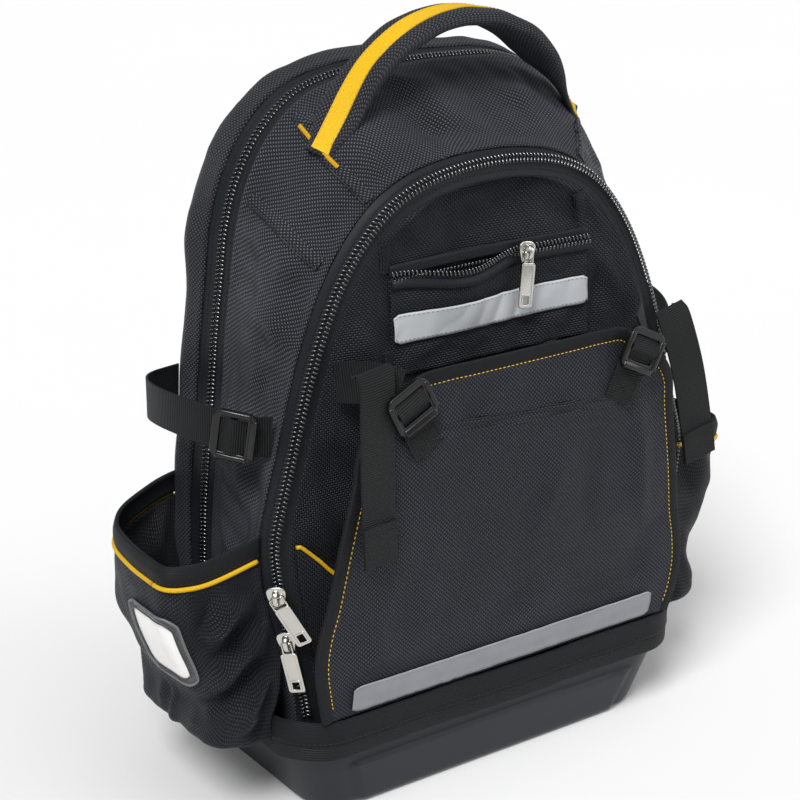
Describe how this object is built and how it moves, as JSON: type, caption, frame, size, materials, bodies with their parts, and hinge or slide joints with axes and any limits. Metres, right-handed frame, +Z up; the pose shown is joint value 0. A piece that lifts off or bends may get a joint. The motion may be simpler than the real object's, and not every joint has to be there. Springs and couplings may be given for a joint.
{
  "type": "tool backpack",
  "caption": "Black tool backpack standing on a moulded base, with two zipped arches, a buckled front flap, side pockets, yellow trim and a grab handle.",
  "frame": {"origin": "middle of the moulded base's flat underside", "axes": "+X to the right of someone facing the front, -Y out of the front flap, +Z up"},
  "size_m": [0.4763, 0.2667, 0.5188],
  "materials": {
    "moulded_base": "fine matt grain",
    "ballistic_nylon": "basket weave, slight sheen",
    "zip_tape": "smooth woven tape with a glossy coil chain",
    "webbing": "ribbed webbing and grosgrain",
    "yellow_trim": "plain bright cord and tape",
    "reflective_tape": "satin grey reflective tape",
    "nickel": "polished nickel plate",
    "buckle_plastic": "satin",
    "clear_vinyl": "clear and glossy",
    "white_card": "plain matt card",
    "padding": "plain knitted padding cover"
  },
  "bodies": {
    "pack": {"back_pad": "padding", "base_binding": "webbing", "base_tub": "moulded_base", "flap_binding": "webbing", "flap_lock_left": "buckle_plastic", "flap_lock_right": "buckle_plastic", "flap_strap_left": "webbing", "flap_strap_right": "webbing", "flap_stub_left": "webbing", "flap_stub_right": "webbing", "flap_tail_left": "webbing", "flap_tail_right": "webbing", "front_flap": "ballistic_nylon", "front_panel": "ballistic_nylon", "front_slider_lower": "nickel", "front_slider_upper": "nickel", "front_zip": "zip_tape", "handle_grip": "webbing", "handle_stripe": "yellow_trim", "inner_pocket": "ballistic_nylon", "inner_pocket_piping": "yellow_trim", "middle_gusset": "ballistic_nylon", "pocket_slider": "nickel", "pocket_zip_lower": "zip_tape", "pocket_zip_upper": "zip_tape", "rear_shell": "ballistic_nylon", "rear_slider": "nickel", "rear_zip": "zip_tape", "reflective_lower": "reflective_tape", "reflective_upper": "reflective_tape", "shoulder_lock_left": "buckle_plastic", "shoulder_lock_right": "buckle_plastic", "shoulder_strap_left": "padding", "shoulder_strap_right": "padding", "shoulder_webbing_left": "webbing", "shoulder_webbing_right": "webbing", "side_lock_left": "buckle_plastic", "side_lock_right": "buckle_plastic", "side_piping_left": "yellow_trim", "side_piping_right": "yellow_trim", "side_pocket_left": "ballistic_nylon", "side_pocket_right": "ballistic_nylon", "side_rim_left": "webbing", "side_rim_right": "webbing", "side_strap_left": "webbing", "side_strap_right": "webbing", "upper_pocket": "ballistic_nylon", "window_card": "white_card", "window_cover": "clear_vinyl"},
    "front_pull_upper_tab": {"front_pull_upper": "nickel"},
    "front_pull_lower_tab": {"front_pull_lower": "nickel"},
    "pocket_pull_tab": {"pocket_pull": "nickel"}
  },
  "joints": [
    {"name": "front_pull_upper_lift", "type": "hinge", "parent": "pack", "child": "front_pull_upper_tab", "pos_m": [-0.17252, -0.09026, 0.1666], "axis": [-0.594, 0.6268, -0.5042], "range_deg": [0, 140]},
    {"name": "front_pull_lower_lift", "type": "hinge", "parent": "pack", "child": "front_pull_lower_tab", "pos_m": [-0.16588, -0.09081, 0.13333], "axis": [-0.66, 0.7311, -0.1729], "range_deg": [0, 140]},
    {"name": "pocket_pull_lift", "type": "hinge", "parent": "pack", "child": "pocket_pull_tab", "pos_m": [0.02593, -0.08996, 0.36041], "axis": [-0.9873, 0.0158, 0.158], "range_deg": [0, 140]}
  ]
}
